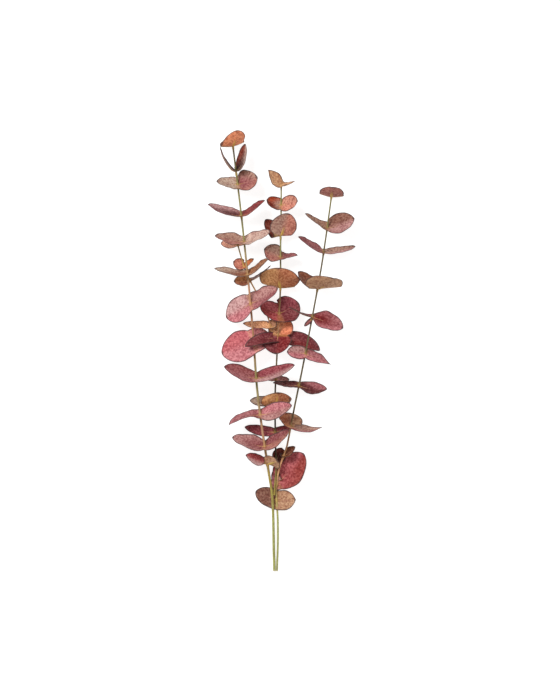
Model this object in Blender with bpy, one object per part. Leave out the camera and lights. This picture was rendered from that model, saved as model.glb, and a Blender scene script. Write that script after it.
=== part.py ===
"""Eucalyptus stem: a cut, forked spray that lies on a surface, its round leaves in joined pairs.

The main stalk carries a middle and a right stalk, and the middle one a short stalk. Each stalk is
one leafy stem: a tapered tube, and blades that it runs through. Two opposite leaves share one
blade, joined round the stalk, so a pair is one blade from tip to tip. One Boolean union joins a
stalk and its blades.

+Y runs from the cut end to the tips, +X is the right-hand side and +Z points up from the surface,
towards someone who looks down on the spray. Sizes are in millimetres until a mesh is made.
"""

import math
import random
from typing import NamedTuple

import bmesh
import bpy
from mathutils import Vector

MM = 0.001

# The middle of the spray's box on the surface, measured from the cut end of the main stalk
BOX_MIDDLE = Vector((9.3, 323.2, 0.0))

# Blades: thickness, rows from tip to tip, columns across
BLADE_THICKNESS = 0.8
BLADE_ROWS = 12
BLADE_COLUMNS = 4

# Outline of one leaf: its usual width where the pair joins, as a share of the full width, and how far
# out it is widest
JOINED_SHARE = 0.74
WIDEST = 0.38

# How far from the stalk a pair's fold is rounded, and its two rolls blend, as shares of a leaf
FOLD_ROUNDING = 0.2
ROLL_BLEND = 0.45

# The cup across a leaf rises with this power of the distance from its rib, and directions along a
# pair are measured over this share of a leaf
CUP_POWER = 1.7
TANGENT_STEP = 0.02

# Edge waves: greatest height on a leaf of this half width, and the number along a leaf
WAVE_HEIGHT = 1.3
WAVE_HALF_WIDTH = 18.0
WAVE_COUNTS = (2, 3)
WAVE_SEED = 7

# The lowest that a blade hangs, and the level of those that rest on the surface
HANGING_LEVEL = 1.5
RESTING_LEVEL = 0.0

# Stalk tubes: sides and the distance between rings
STALK_SIDES = 8
RING_STEP = 14.0

# The cut end rests on a flat: the tube's corners below this level are pressed down to the surface
PRESSED_BELOW = 0.6

# Loose scraps of a union up to this volume (mm3) are dropped, and corners this close are merged
SCRAP_VOLUME = 2.0
MERGE_DISTANCE = 0.004

LEAF_ROUGHNESS = 0.6
SMOOTH_ANGLE = 40.0


class Half(NamedTuple):
    """One leaf of a pair."""

    tip: tuple  # from the knuckle to the tip: right, up the spray, towards the viewer
    width: float  # the flattened leaf's full width
    roll: float  # degrees that its upper face is turned towards the viewer
    arch: float = 20.0  # degrees that it bends from root to tip, towards its upper face
    point: float = 0.62  # how pointed its end is: 0.5 is an arc, and past 1 a narrow tail


class Pair(NamedTuple):
    """Two opposite leaves, joined round the stalk."""

    height: float  # of the knuckle up the spray, along Y, from the cut end
    left: Half  # or the leaf behind the stalk
    right: Half  # or the leaf in front of it
    cup: float = 0.2  # how far its edges stand out of the upper face, as a share of the half width
    waist: float = JOINED_SHARE  # its width where the two leaves join, as a share of the full width
    level: float = HANGING_LEVEL  # the lowest that it reaches


class Stalk(NamedTuple):
    """One leafy stem: its stalk's route and radius at both ends, its colour and its pairs of leaves."""

    name: str
    route: list
    foot_radius: float
    top_radius: float
    colour: tuple
    pairs: list


LEFT = Stalk(
    "leafy_stem_left",
    [
        (-1.6, 0, 1.85), (-1.9, 14, 1.85), (-2.5, 31, 3.2), (-4.3, 104, 12), (-10.3, 148, 17.5), (-20, 212, 25),
        (-27.2, 271, 29), (-31.6, 332, 30), (-36.3, 390, 32), (-41.9, 446, 33), (-50.7, 528, 32),
        (-62.9, 628, 29),
    ],
    2.0,
    1.0,
    (0.26, 0.075, 0.085, 1),
    [
        Pair(622, Half((-6, 12, -22), 34, 6), Half((5, 24, 26), 36, 8, 20, 0.75), waist=1.05),
        Pair(583, Half((-24, 41, 4), 26, 20, 46, 1.1), Half((13, 44, 2), 27, 42, 36)),
        Pair(567, Half((-31, 5, 3), 32, 34), Half((29, 11, 2), 42, 52)),
        Pair(520, Half((-49, 18, 4), 38, 24), Half((34, 24, 4), 34, 20)),
        Pair(483, Half((-43, 9, 3), 38, 28), Half((38, 15, 12), 36, 30)),
        Pair(434, Half((-49, 10, 4), 36, 18), Half((30, 24, 16), 32, 28)),
        Pair(393, Half((-36, -20, -14), 42, 68), Half((40, 22, 8), 42, 36)),
        Pair(337, Half((-47, -17, -14), 47, 76), Half((21, 14, -14), 36, 58), waist=0.9),
        Pair(282, Half((-47, 19, 2), 38, 32), Half((56, 21, 13), 34, 34)),
        Pair(229, Half((-46, -14, 2), 28, 14, -50), Half((46, 15, 24), 28, 60)),
        Pair(182, Half((-48, 15, 0), 34, 30, 8), Half((36, 25, 22), 26, 46)),
        Pair(157, Half((-32, 14, 0), 28, 26), Half((15, 6, 17), 28, -60)),
    ],
)

MIDDLE = Stalk(
    "leafy_stem_middle",
    [
        (-1.9, 112, 12.6), (-0.4, 131, 12.6), (1.0, 148, 12.5), (0.7, 166, 13.2), (0, 185, 14),
        (-0.7, 247, 15.5), (0.4, 284, 17), (2.6, 325, 19), (5.1, 373, 21), (7.4, 421, 22),
        (7.4, 476, 23), (8.2, 525, 24), (8.4, 566, 25),
    ],
    1.1,
    0.8,
    (0.30, 0.10, 0.07, 1),
    [
        Pair(565, Half((-19, 24, 8), 24, 62, 20, 1.0), Half((21, 8, 4), 20, 12, 20, 1.6), waist=1.05),
        Pair(537, Half((-21, 8, 5), 21, 64, 20, 0.5), Half((24, 6, 14), 28, 62, 20, 0.5)),
        Pair(489, Half((-22, 28, -14), 24, 40), Half((11, 36, 16), 40, -22, 10), waist=0.8),
        Pair(461, Half((-24, 12, 4), 34, 56), Half((25, 3, 3), 26, 16)),
        Pair(414, Half((3, 14, -18), 34, 0), Half((-4, 31, 28), 61, 0), waist=0.9),
        Pair(378, Half((-28, 13, 4), 29, 60), Half((29, 16, -8), 42, 66), waist=0.95),
        Pair(347, Half((12, 26, -13), 36, -30), Half((-4, -28, 18), 44, 0, -30)),
        Pair(342, Half((-48, -12, 20), 22, 40, -50), Half((62, -17, -14), 30, 48, -50)),
        Pair(282, Half((-12, 0, -4), 12, 30), Half((20, 0, -4), 14, 40)),
        Pair(249, Half((-37, 2, -9), 20, 50), Half((22, 5, -6), 20, 50)),
        Pair(241, Half((0, 6, -12), 30, 0), Half((4, 22, 7), 54, 0), 0.06),
        Pair(204, Half((-45, 8, -11), 20, 48), Half((24, 8, -11), 14, 64), 0.1),
        Pair(160, Half((-6, 5, -6), 10, 50), Half((9, 21, -7), 22, 68)),
    ],
)

RIGHT = Stalk(
    "leafy_stem_right",
    [
        (2.1, 0, 1.5), (2.4, 12, 2.1), (3.4, 36, 3.8), (3.4, 75, 5.8), (1.5, 106, 7.2), (0.7, 119, 8), (2.6, 137, 10.5),
        (5.4, 151, 13.2), (12.8, 172, 17), (16.9, 184, 19.6), (27.6, 240, 25), (37.9, 290, 29),
        (48.2, 343, 31), (65.1, 434, 25), (73.1, 485, 22), (82.2, 551, 20),
    ],
    1.2,
    0.8,
    (0.27, 0.085, 0.09, 1),
    [
        Pair(548.5, Half((0, 8, -16), 30, 3), Half((1, 15, 26), 36, 3), waist=1.1),
        Pair(503, Half((-32, 22, 4), 28, 22), Half((40, 15, 4), 42, 52)),
        Pair(467, Half((-37, 24, 4), 34, 24), Half((47, 11, -23), 23, 21), level=RESTING_LEVEL),
        Pair(413, Half((-28, 27, -4), 34, 34), Half((24, 17, 31), 62, 2), waist=0.9),
        Pair(373, Half((-34, 15, 13), 14, 6), Half((45, -16, 4), 36, 52, -10)),
        Pair(371, Half((-11, -11, 5), 7, 50, 20, 0.5), Half((4, 3, -4), 6, 40)),
        Pair(320, Half((-27, 2, 13), 23, 62, -10), Half((38, -16, 4), 24, 36, 10, 1.8)),
        Pair(273, Half((-38, 4, 8), 22, 16), Half((41, -5, 2), 29, 34, 46)),
        Pair(213, Half((-2, 20, -12), 38, 0), Half((47, 0, 4), 30, 16, 66, 1.5)),
        Pair(169, Half((-5, 4, 0), 12, 20), Half((17, 14, 4), 18, 40)),
        Pair(127, Half((-3, 24, -7), 16, 60), Half((40, 46, 5), 48, 64), 0.08, 0.7),
        Pair(104, Half((-31, 13, -5), 28, 86), Half((28, 1, 3), 30, 84, 20, 0.75), 0.05, 1.0),
    ],
)

SHORT = Stalk(
    "leafy_stem_short",
    [
        (1.7, 350.5, 20.9), (-2.9, 354, 21), (-6.6, 359.5, 20.8), (-12, 376, 19.5), (-29.4, 412, 17),
        (-37.5, 427, 16.5), (-47, 450, 16), (-55.8, 481, 14.5),
    ],
    0.9,
    0.7,
    (0.45, 0.18, 0.08, 1),
    [
        Pair(479, Half((-25, 4, -14.5), 18, 46, 8), Half((14, 2, -4), 16, 20), level=RESTING_LEVEL),
        Pair(447, Half((-16, 8, 2), 22, 64), Half((14, 12, 0), 20, 24)),
        Pair(426, Half((-24, 0, 0), 27, 42), Half((30, 23, 0), 20, 4)),
        Pair(360, Half((-41, 4, -4), 26, 28), Half((6, 9, -7), 14, 60)),
    ],
)

STALKS = (LEFT, MIDDLE, RIGHT, SHORT)


def smooth_route(stalk):
    """Points a ring step apart on a smooth curve through the stalk's route."""
    points = [Vector(p) for p in stalk.route]
    ends = [points[0] * 2 - points[1], *points, points[-1] * 2 - points[-2]]
    smooth = []
    for a, b, c, d in zip(ends, ends[1:], ends[2:], ends[3:]):
        steps = max(1, round((c - b).length / RING_STEP))
        for t in (i / steps for i in range(steps)):
            bend = (2 * a - 5 * b + 4 * c - d) * t**2 + (3 * b - a - 3 * c + d) * t**3
            smooth.append(0.5 * (2 * b + (c - a) * t + bend))
    return [*smooth, points[-1]]


def on_route(smooth, height):
    """The point of the stalk's middle line at this height up the spray, and its direction there."""
    for a, b in zip(smooth, smooth[1:]):
        if a.y <= height <= b.y:
            return a.lerp(b, (height - a.y) / (b.y - a.y)), (b - a).normalized()
    raise ValueError(f"no point of the stalk is {height} mm up the spray")


def ease(value):
    """A smooth step from 0 to 1."""
    value = min(1.0, max(0.0, value))
    return value * value * (3 - 2 * value)


class Blade:
    """The surface of one pair, by its share of the way from tip (-1) through the stalk (0) to tip (1)."""

    def __init__(self, pair, knuckle, direction, seed):
        self.pair = pair
        self.knuckle = knuckle
        self.sides = [self.side(pair.left, direction, -1), self.side(pair.right, direction, 1)]
        draw = random.Random(seed)
        self.waves = [
            (draw.choice(WAVE_COUNTS), draw.uniform(0, math.tau), draw.uniform(0.5, 1)) for _ in (0, 1)
        ]

    @staticmethod
    def side(half, direction, sign):
        """One leaf's length, bend and directions: along it, across it and out of its upper face.

        The upper face looks up the stalk, as on a shoot, and the roll turns it to the viewer."""
        along = Vector(half.tip).normalized()
        up = (direction - along * direction.dot(along)).normalized()
        across = along.cross(up) * sign
        roll = math.radians(half.roll)
        turned = up * math.cos(roll) + across * math.sin(roll)
        across = across * math.cos(roll) - up * math.sin(roll)
        return Vector(half.tip).length, math.radians(half.arch), along, across, turned

    def rib(self, s):
        """The point of the rib at s, on an arc from the knuckle to the tip."""
        length, bend, along, _, up = self.sides[s > 0]
        u = abs(s)
        if abs(bend) < math.radians(1):
            return self.knuckle + along * (length * u)
        radius = length / (2 * math.sin(bend / 2))
        turn = bend * (u - 0.5)
        forward = radius * (math.sin(turn) + math.sin(bend / 2))
        rise = radius * (math.cos(bend / 2) - math.cos(turn))
        return self.knuckle + along * forward + up * rise

    def middle(self, s):
        """The rib with its fold at the stalk rounded off."""
        if abs(s) >= FOLD_ROUNDING:
            return self.rib(s)
        t = (s / FOLD_ROUNDING + 1) / 2
        first, last = self.rib(-FOLD_ROUNDING), self.rib(FOLD_ROUNDING)
        return first * (1 - t) ** 2 + self.knuckle * (2 * t * (1 - t)) + last * t**2

    def half_width(self, s):
        """Half the blade's width at s."""
        share = ease((s / ROLL_BLEND + 1) / 2)
        width = self.pair.left.width * (1 - share) + self.pair.right.width * share
        u = abs(s)
        if u < WIDEST:
            return 0.5 * width * (1 - (1 - self.pair.waist) * ((WIDEST - u) / WIDEST) ** 2)
        point = (self.pair.left, self.pair.right)[s > 0].point
        return 0.5 * width * max(0.0, 1 - ((u - WIDEST) / (1 - WIDEST)) ** 2) ** point

    def point(self, s, v, lift):
        """The place s along the pair, v across it (-1 to 1), at this lift from its middle surface."""
        share = ease((s / ROLL_BLEND + 1) / 2)
        after, before = min(1, s + TANGENT_STEP), max(-1, s - TANGENT_STEP)
        tangent = (self.middle(after) - self.middle(before)).normalized()
        across = self.sides[0][3] * (1 - share) + self.sides[1][3] * share
        across = (across - tangent * across.dot(tangent)).normalized()
        up = across.cross(tangent)
        half = self.half_width(s)
        count, phase, size = self.waves[v > 0]
        height = WAVE_HEIGHT * size * half / WAVE_HALF_WIDTH
        wave = height * v * v * math.sin(count * math.pi * s + phase)
        rise = self.pair.cup * half * abs(v) ** CUP_POWER + wave
        place = self.middle(s) + across * (half * v) + up * rise
        place.z = max(place.z, self.pair.level + BLADE_THICKNESS / 2 * abs(up.z))
        return place + up * lift


def add_mesh(name, bm):
    """A new object in the scene from this bmesh."""
    mesh = bpy.data.meshes.new(name)
    bm.to_mesh(mesh)
    bm.free()
    thing = bpy.data.objects.new(name, mesh)
    bpy.context.scene.collection.objects.link(thing)
    return thing


def add_blade(name, blade, rows=BLADE_ROWS, columns=BLADE_COLUMNS):
    """A closed solid of the pair: two like skins of triangles, a blade's thickness apart, and a rim."""
    bm = bmesh.new()
    skins = []
    along = [-math.cos(math.pi * i / rows) for i in range(1, rows)]
    across = [2 * j / columns - 1 for j in range(columns + 1)]
    for lift in (BLADE_THICKNESS / 2, -BLADE_THICKNESS / 2):
        grid = [[bm.verts.new(blade.point(s, v, lift)) for v in across] for s in along]
        tips = [bm.verts.new(blade.point(s, 0, lift)) for s in (-1, 1)]
        skins.append((grid, tips))
    for grid, tips in skins:
        for low, high in zip(grid, grid[1:]):
            for j in range(columns):
                a, b, c, d = low[j], high[j], high[j + 1], low[j + 1]
                cut = ((a, b, c), (a, c, d)) if j < columns / 2 else ((a, b, d), (b, c, d))
                for corners in cut:
                    bm.faces.new(corners)
        for row, tip in ((grid[0], tips[0]), (grid[-1], tips[1])):
            for a, b in zip(row, row[1:]):
                bm.faces.new((a, b, tip))
    (upper, upper_tips), (lower, lower_tips) = skins
    for side in (0, -1):
        top = [upper_tips[0], *(row[side] for row in upper), upper_tips[1]]
        under = [lower_tips[0], *(row[side] for row in lower), lower_tips[1]]
        for a, b, c, d in zip(top, top[1:], under[1:], under):
            bm.faces.new((a, b, c))
            bm.faces.new((a, c, d))
    bmesh.ops.recalc_face_normals(bm, faces=bm.faces)
    for vert in bm.verts:
        vert.co = (vert.co - BOX_MIDDLE) * MM
    return add_mesh(name, bm)


def add_tube(stalk, smooth):
    """The stalk's tapered tube, with closed ends."""
    curve = bpy.data.curves.new(f"{stalk.name}_tube", "CURVE")
    curve.dimensions = "3D"
    curve.bevel_depth = MM
    curve.bevel_resolution = STALK_SIDES // 4
    curve.use_fill_caps = True
    spline = curve.splines.new("POLY")
    spline.points.add(len(smooth) - 1)
    for i, (point, place) in enumerate(zip(spline.points, smooth)):
        share = i / (len(smooth) - 1)
        point.radius = stalk.foot_radius + (stalk.top_radius - stalk.foot_radius) * share
        point.co = ((place - BOX_MIDDLE) * MM).to_4d()
    thing = bpy.data.objects.new(curve.name, curve)
    bpy.context.scene.collection.objects.link(thing)
    return thing


def clear_scene():
    """Take the start-up objects out of the scene."""
    for thing in list(bpy.data.objects):
        bpy.data.objects.remove(thing, do_unlink=True)


def blades_of(stalk):
    """The stalk's smooth middle line and its blades."""
    smooth = smooth_route(stalk)
    places = [on_route(smooth, pair.height) for pair in stalk.pairs]
    blades = [
        Blade(pair, *place, WAVE_SEED + i) for i, (pair, place) in enumerate(zip(stalk.pairs, places))
    ]
    return smooth, blades


def make_active(thing):
    """Select this object alone, for the operators that follow."""
    for other in bpy.context.scene.objects:
        other.select_set(other == thing)
    bpy.context.view_layer.objects.active = thing


def tube_to_mesh(tube):
    """Turn the curve into a closed mesh, its cut end pressed flat below where it rests."""
    make_active(tube)
    bpy.ops.object.convert(target="MESH")
    bm = bmesh.new()
    bm.from_mesh(tube.data)
    bmesh.ops.remove_doubles(bm, verts=bm.verts, dist=MERGE_DISTANCE * MM)
    for vert in bm.verts:
        if vert.co.z < PRESSED_BELOW * MM:
            vert.co.z = 0
    bm.to_mesh(tube.data)
    bm.free()


def islands(bm):
    """The mesh's separate bodies, each as a list of faces."""
    left = set(bm.faces)
    while left:
        body = {left.pop()}
        edge_of_body = list(body)
        while edge_of_body:
            face = edge_of_body.pop()
            for edge in face.edges:
                for other in edge.link_faces:
                    if other in left:
                        left.remove(other)
                        body.add(other)
                        edge_of_body.append(other)
        yield list(body)


def signed_volume(faces):
    """The volume that these faces close in, in mm3, less than 0 where they face into a hollow."""
    total = 0.0
    for face in faces:
        first, *others = (loop.vert.co for loop in face.loops)
        for a, b in zip(others, others[1:]):
            total += first.dot(a.cross(b)) / 6
    return total / MM**3


def tidy_union(thing):
    """Merge the union's shortest edges, drop its loose scraps and fill its sealed hollows."""
    bm = bmesh.new()
    bm.from_mesh(thing.data)
    bmesh.ops.remove_doubles(bm, verts=bm.verts, dist=MERGE_DISTANCE * MM)
    bmesh.ops.dissolve_degenerate(bm, edges=bm.edges, dist=MERGE_DISTANCE * MM)
    bmesh.ops.triangulate(bm, faces=bm.faces)
    for body in list(islands(bm)):
        if signed_volume(body) < SCRAP_VOLUME:
            bmesh.ops.delete(bm, geom=body, context="FACES")
    bm.to_mesh(thing.data)
    bm.free()


def join_stem(tube, leaves):
    """Join the tube and its leaves into one closed body with a Boolean union.

    The blades fold tightly at the stalk, where the exact solver leaves edges that four faces share,
    so the manifold solver joins them."""
    group = bpy.data.collections.new(f"{tube.name}_leaves")
    for leaf in leaves:
        group.objects.link(leaf)
    union = tube.modifiers.new("union", "BOOLEAN")
    union.operation = "UNION"
    union.operand_type = "COLLECTION"
    union.collection = group
    union.solver = "MANIFOLD"
    make_active(tube)
    bpy.ops.object.modifier_apply(modifier=union.name)
    for leaf in leaves:
        bpy.data.objects.remove(leaf, do_unlink=True)
    bpy.data.collections.remove(group)


def finish(thing, stalk):
    """Name the leafy stem, shade it smooth and give it its colour."""
    thing.name = stalk.name
    thing.data.name = stalk.name
    thing.data.shade_smooth()
    thing.data.set_sharp_from_angle(angle=math.radians(SMOOTH_ANGLE))
    material = bpy.data.materials.new(f"{stalk.name}_leaf")
    material.use_nodes = True
    shader = material.node_tree.nodes["Principled BSDF"]
    shader.inputs["Base Color"].default_value = stalk.colour
    shader.inputs["Roughness"].default_value = LEAF_ROUGHNESS
    shader.inputs["Metallic"].default_value = 0.0
    thing.data.materials.clear()
    thing.data.materials.append(material)


def main():
    """Build every leafy stem."""
    clear_scene()
    for stalk in STALKS:
        smooth, blades = blades_of(stalk)
        tube = add_tube(stalk, smooth)
        tube_to_mesh(tube)
        join_stem(tube, [add_blade(f"{stalk.name}_{i}", blade) for i, blade in enumerate(blades)])
        tidy_union(tube)
        finish(tube, stalk)


if __name__ == "__main__":
    main()
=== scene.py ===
"""Eucalyptus stem, dressed: a cut, forked spray of dyed leaves on a pale surface, seen from above.

The spray's form is the frame's, worked out again at a finer step: four stalks, and blades that they
run through, each blade a pair of opposite leaves joined round its stalk. Lengths are in millimetres
until a mesh is made. +Y runs from the cut end to the tips, +X to the right and +Z to the viewer.
"""

from __future__ import annotations

import logging
import math
import random
from dataclasses import dataclass
from enum import Enum

import bpy
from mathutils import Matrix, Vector
from mathutils.kdtree import KDTree


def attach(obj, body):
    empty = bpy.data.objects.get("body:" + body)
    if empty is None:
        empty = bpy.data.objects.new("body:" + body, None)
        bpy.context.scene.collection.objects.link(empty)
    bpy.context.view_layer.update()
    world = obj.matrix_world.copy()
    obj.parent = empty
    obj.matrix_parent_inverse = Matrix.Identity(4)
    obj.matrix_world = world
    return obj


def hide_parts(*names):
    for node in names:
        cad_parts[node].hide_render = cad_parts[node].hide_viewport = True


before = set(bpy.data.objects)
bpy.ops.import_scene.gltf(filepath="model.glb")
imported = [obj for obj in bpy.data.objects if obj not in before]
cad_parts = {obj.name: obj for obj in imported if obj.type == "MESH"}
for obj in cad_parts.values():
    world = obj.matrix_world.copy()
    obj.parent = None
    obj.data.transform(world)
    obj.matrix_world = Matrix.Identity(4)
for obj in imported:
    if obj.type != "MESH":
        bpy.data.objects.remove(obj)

LOG = logging.getLogger("eucalyptus")
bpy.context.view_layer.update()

MM = 0.001
BOX_MIDDLE = Vector((9.3, 323.2, 0.0))
HANGING_LEVEL = 1.5
RESTING_LEVEL = 0.0

Triple = tuple[float, float, float]
Colour = tuple[float, float, float, float]
Range = tuple[float, float]


def linear(channel: float) -> float:
    """One sRGB channel from 0 to 255 in linear light.

    Args:
        channel: The channel's value as a picture holds it.

    Returns:
        The same value as a shader takes it, from 0 to 1.
    """
    value = channel / 255
    return value / 12.92 if value <= 0.04045 else ((value + 0.055) / 1.055) ** 2.4


class Tone(Enum):
    """The colours of the dyed leaves and stalks in sRGB from 0 to 255, some also used as painted
    shade and painted light.
    """

    BRIGHT_CORAL = (252, 160, 116)
    CORAL = (226, 136, 98)
    CORAL_PINK = (208, 134, 114)
    SALMON = (192, 130, 110)
    DUSTY_CORAL = (176, 114, 102)
    BLUSH = (228, 170, 144)
    PEACH = (206, 156, 114)
    LIGHT_TAN = (230, 172, 124)
    APRICOT = (206, 146, 94)
    ORANGE = (200, 112, 56)
    AMBER = (158, 52, 0)
    COPPER = (184, 114, 78)
    OCHRE = (194, 142, 92)
    BRONZE = (152, 100, 66)
    TAN = (192, 146, 112)
    SAND = (184, 158, 140)
    PALE_SAND = (200, 168, 154)
    STONE = (162, 140, 122)
    TAUPE = (164, 126, 110)
    FAWN = (152, 110, 90)
    BROWN = (134, 88, 72)
    UMBER = (138, 80, 54)
    RUST = (122, 42, 22)
    MAROON = (98, 32, 20)
    # painted shade: a cup in deep shade, where a pair closes round its stalk
    CUP_SHADE_BROWN = (52, 16, 8)
    ASH_MAUVE = (166, 134, 132)
    PALE_MAUVE = (194, 150, 148)
    MAUVE = (182, 132, 128)
    LIGHT_PINK = (232, 150, 154)
    PINK = (194, 118, 124)
    BRIGHT_PINK = (196, 100, 106)
    ROSE = (162, 96, 100)
    ROSE_RED = (170, 74, 76)
    BRICK = (156, 60, 54)
    WINE = (144, 78, 80)
    BURGUNDY = (144, 62, 72)
    PLUM = (122, 50, 56)
    DARK_PLUM = (90, 22, 26)
    CRIMSON = (126, 30, 34)
    OLIVE_BRIGHT = (168, 170, 96)
    OLIVE = (136, 134, 80)
    KHAKI = (166, 146, 66)
    GREY_OLIVE = (98, 88, 56)
    DARK_STALK = (58, 48, 28)
    STALK_TAN = (172, 122, 86)
    STALK_GOLD = (206, 162, 80)
    RIB_GOLD = (222, 196, 84)
    CUT_WOOD = (206, 194, 150)

    @property
    def rgba(self) -> Colour:
        """The colour in linear light, with its alpha."""
        return (*(linear(channel) for channel in self.value), 1.0)


def ease(value: float) -> float:
    """A smooth step from 0 to 1."""
    value = min(1.0, max(0.0, value))
    return value * value * (3 - 2 * value)


def crossing(value: float, reach: float) -> float:
    """A smooth step from 0 at minus the reach to 1 at the reach."""
    return ease((value / reach + 1) / 2)


def blend(first: tuple, last: tuple, share: float) -> tuple:
    """The mix of two colours.

    Args:
        first: The colour where share is 0.
        last: The colour where share is 1.
        share: How much of the last colour there is.

    Returns:
        The mixed colour.
    """
    return tuple(a * (1 - share) + b * share for a, b in zip(first, last))


@dataclass(frozen=True)
class Half:
    """One leaf of a pair: its shape, and the tones of its upper face and of its underside.

    tip is the tip's place from the knuckle. roll turns the face about the rib and arch, which is
    never 0, bends the rib, both in degrees. A lower point makes the tip rounder.

    tone and under hold on the side of the rib that is higher on the spray, or to the right where
    the leaf stands in front of its stalk or behind it. far and under_far_tone_and_fold_shade hold
    beyond the rib, and heart near the stalk, where they differ. far and
    under_far_tone_and_fold_shade are partly the leaf's own colour and partly painted shade, of the
    half that the fold along the rib turns from the light. heart is partly the leaf's own colour and
    partly painted shade, of the cup that the pair closes round its stalk.
    """

    tip: Triple
    width: float
    roll: float
    tone: Tone = Tone.WINE
    far_tone_and_fold_shade: Tone | None = None
    arch: float = 20.0
    point: float = 0.62
    under: Tone | None = None
    under_far_tone_and_fold_shade: Tone | None = None
    heart_tone_and_shade: Tone | None = None
    heart_reach: float = 0.68
    under_paleness: float = 0.4

    def upper_tone(self, over: float) -> tuple:
        """The upper face's colour, at this share of the way over the rib."""
        return blend(self.tone.rgba, (self.far_tone_and_fold_shade or self.tone).rgba, over)

    def under_tone(self, over: float) -> tuple:
        """The underside's colour, at this share of the way over the rib."""
        paler = blend(self.tone.rgba, Tone.SAND.rgba, self.under_paleness)
        first = self.under.rgba if self.under else paler
        last = self.under_far_tone_and_fold_shade.rgba if self.under_far_tone_and_fold_shade else first
        return blend(first, last, over)


@dataclass(frozen=True)
class Pair:
    """Two opposite leaves, joined round the stalk at this height up the spray."""

    height: float
    left: Half
    right: Half
    cup: float = 0.2
    waist: float = 0.74
    level: float = HANGING_LEVEL


@dataclass(frozen=True)
class BladeForm:
    """The form that all blades share, as part of the frame's design, and the finer relief on it."""

    thickness: float = 0.42
    solid_thickness: float = 0.8
    rows: int = 56
    columns: int = 16
    widest: float = 0.38
    fold_rounding: float = 0.2
    roll_blend: float = 0.45
    cup_power: float = 1.7
    tangent_step: float = 0.02
    wave_height: float = 1.3
    wave_half_width: float = 18.0
    wave_counts: tuple[int, int] = (2, 3)
    wave_sizes: Range = (0.5, 1.0)
    wave_seed: int = 7
    rib_dip: float = 0.35
    rib_reach: float = 1.6
    rib_dip_growth: float = 5.0
    crinkle_height: float = 0.22
    crinkle_counts: tuple[int, int] = (6, 9)
    crinkle_power: int = 4
    tip_edge_share: float = 0.7
    stalk_blend: float = 0.16
    # rib_blend, heart_fade and heart_breadth shape the colour blends, which hold painted fold shade
    # and cup shade as well as the leaves' own colours
    rib_blend: float = 0.4
    heart_fade: float = 1.35
    heart_breadth: float = 0.85


FORM = BladeForm()


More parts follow.
